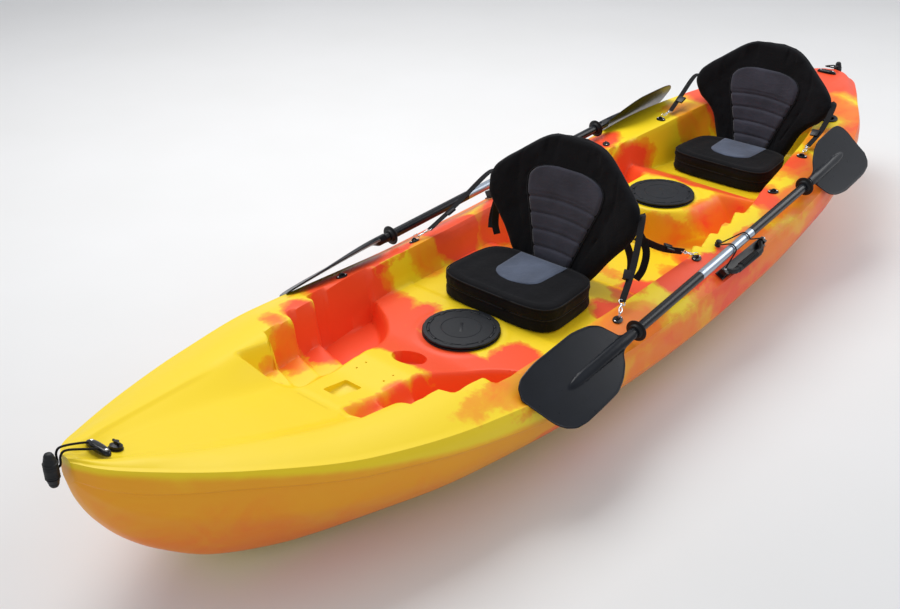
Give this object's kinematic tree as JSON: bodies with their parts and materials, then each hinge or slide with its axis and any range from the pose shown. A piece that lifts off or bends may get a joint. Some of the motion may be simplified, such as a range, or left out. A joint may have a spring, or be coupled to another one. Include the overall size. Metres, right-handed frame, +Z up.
{
  "type": "kayak",
  "caption": "Sit-on-top kayak for two with padded seats, paddles held on the gunwales, screw-down deck hatches, foot pockets, carry handles and deck fittings.",
  "frame": {"origin": "on the keel's flat strip, below the middle of the whole length", "axes": "+X to the bow, +Y to port, +Z up"},
  "size_m": [3.7982, 1.0978, 0.6473],
  "materials": {
    "hull_plastic": "rotomoulded polyethylene, marbled yellow, orange and red",
    "black_plastic": "moulded, satin",
    "slate_plastic": "moulded, satin",
    "black_rubber": "moulded",
    "seat_fabric": "woven polyester over foam",
    "webbing": "woven webbing and cord",
    "bare_alloy": "anodised tube"
  },
  "bodies": {
    "hull": {"bow_handle_bracket": "black_plastic", "drain_bushing": "black_plastic", "front_hatch_rim": "slate_plastic", "front_seat_cushion": "seat_fabric", "front_seat_port_strap": "webbing", "front_seat_starboard_strap": "webbing", "hull_shell": "hull_plastic", "middle_hatch_rim": "slate_plastic", "port_bungee": "webbing", "port_bungee_knob": "black_plastic", "port_handle_base": "black_plastic", "port_pad_eye_1": "black_plastic", "port_pad_eye_2": "black_plastic", "port_pad_eye_3": "black_plastic", "port_pad_eye_4": "black_plastic", "port_pad_eye_5": "black_plastic", "port_rod_holder": "black_plastic", "port_stern_eye": "black_plastic", "rear_seat_cushion": "seat_fabric", "rear_seat_port_strap": "webbing", "rear_seat_starboard_strap": "webbing", "starboard_bungee": "webbing", "starboard_bungee_knob": "black_plastic", "starboard_handle_base": "black_plastic", "starboard_pad_eye_1": "black_plastic", "starboard_pad_eye_2": "black_plastic", "starboard_pad_eye_3": "black_plastic", "starboard_pad_eye_4": "black_plastic", "starboard_pad_eye_5": "black_plastic", "starboard_rod_holder": "black_plastic", "starboard_stern_eye": "black_plastic", "stern_handle_bracket": "black_plastic"},
    "bow_handle": {"bow_handle_cord": "webbing", "bow_handle_grip": "black_rubber"},
    "drain_plug": {"drain_plug": "black_plastic"},
    "front_hatch_cover": {"front_hatch_cover": "slate_plastic"},
    "front_hatch_seal": {"front_hatch_seal": "black_rubber"},
    "front_seat_back": {"front_seat_back": "seat_fabric", "front_seat_bag": "seat_fabric"},
    "middle_hatch_cover": {"middle_hatch_cover": "slate_plastic"},
    "middle_hatch_seal": {"middle_hatch_seal": "black_rubber"},
    "port_handle_grip": {"port_handle_grip": "black_rubber"},
    "port_paddle_aft": {"port_paddle_blade_aft": "slate_plastic", "port_paddle_ferrule": "bare_alloy", "port_paddle_ring_aft": "black_rubber", "port_paddle_shaft_aft": "black_plastic"},
    "port_paddle_fore": {"port_paddle_blade_fore": "slate_plastic", "port_paddle_ring_fore": "black_rubber", "port_paddle_shaft_fore": "black_plastic"},
    "rear_seat_back": {"rear_seat_back": "seat_fabric"},
    "starboard_handle_grip": {"starboard_handle_grip": "black_rubber"},
    "starboard_paddle_aft": {"starboard_paddle_blade_aft": "slate_plastic", "starboard_paddle_ferrule": "bare_alloy", "starboard_paddle_ring_aft": "black_rubber", "starboard_paddle_shaft_aft": "black_plastic"},
    "starboard_paddle_fore": {"starboard_paddle_blade_fore": "slate_plastic", "starboard_paddle_ring_fore": "black_rubber", "starboard_paddle_shaft_fore": "black_plastic"},
    "stern_handle": {"stern_handle_cord": "webbing", "stern_handle_grip": "black_rubber"}
  },
  "joints": [
    {"name": "front_hatch_lift", "type": "slide", "parent": "hull", "child": "front_hatch_seal", "axis": [0, 0, 1], "range_m": [0, 0.08]},
    {"name": "front_hatch_turn", "type": "hinge", "parent": "front_hatch_seal", "child": "front_hatch_cover", "pos_m": [0.587, 0, 0.213], "axis": [0, 0, 1], "range_deg": [0, 90]},
    {"name": "middle_hatch_lift", "type": "slide", "parent": "hull", "child": "middle_hatch_seal", "axis": [0, 0, 1], "range_m": [0, 0.08]},
    {"name": "middle_hatch_turn", "type": "hinge", "parent": "middle_hatch_seal", "child": "middle_hatch_cover", "pos_m": [-0.49, 0, 0.281], "axis": [0, 0, 1], "range_deg": [0, 90]},
    {"name": "drain_plug_turn", "type": "hinge", "parent": "hull", "child": "drain_plug", "pos_m": [1.73292, 0, 0.43662], "axis": [-0.2677, 0, 0.9635], "range_deg": [0, 180]},
    {"name": "bow_handle_swing", "type": "hinge", "parent": "hull", "child": "bow_handle", "pos_m": [1.78802, 0.00006, 0.47608], "axis": [0, -1, 0], "range_deg": [0, 110]},
    {"name": "stern_handle_swing", "type": "hinge", "parent": "hull", "child": "stern_handle", "pos_m": [-1.79291, 0.00002, 0.42607], "axis": [0, 1, 0], "range_deg": [0, 110]},
    {"name": "port_handle_swing", "type": "hinge", "parent": "hull", "child": "port_handle_grip", "pos_m": [-0.22395, 0.45679, 0.29645], "axis": [0.9983, -0.0006, -0.0585], "range_deg": [0, 45]},
    {"name": "port_paddle_lift", "type": "slide", "parent": "hull", "child": "port_paddle_fore", "axis": [0, 0, 1], "range_m": [0, 0.1], "deforming": ["port_bungee"]},
    {"name": "port_paddle_pull_apart", "type": "slide", "parent": "port_paddle_fore", "child": "port_paddle_aft", "axis": [-0.9979, -0.0357, 0.054], "range_m": [0, 0.12]},
    {"name": "starboard_handle_swing", "type": "hinge", "parent": "hull", "child": "starboard_handle_grip", "pos_m": [-0.22391, -0.45626, 0.29658], "axis": [-0.9982, -0.0007, 0.0595], "range_deg": [0, 45]},
    {"name": "starboard_paddle_lift", "type": "slide", "parent": "hull", "child": "starboard_paddle_fore", "axis": [0, 0, 1], "range_m": [0, 0.1], "deforming": ["starboard_bungee"]},
    {"name": "starboard_paddle_pull_apart", "type": "slide", "parent": "starboard_paddle_fore", "child": "starboard_paddle_aft", "axis": [-0.9979, 0.0357, 0.054], "range_m": [0, 0.12]},
    {"name": "front_seat_back_fold", "type": "hinge", "parent": "hull", "child": "front_seat_back", "pos_m": [0.14356, 0, 0.312], "axis": [0, 1, 0], "range_deg": [0, 60], "deforming": ["front_seat_port_strap", "front_seat_starboard_strap"]},
    {"name": "rear_seat_back_fold", "type": "hinge", "parent": "hull", "child": "rear_seat_back", "pos_m": [-1.14644, 0, 0.312], "axis": [0, 1, 0], "range_deg": [0, 45], "deforming": ["rear_seat_port_strap", "rear_seat_starboard_strap"]}
  ]
}
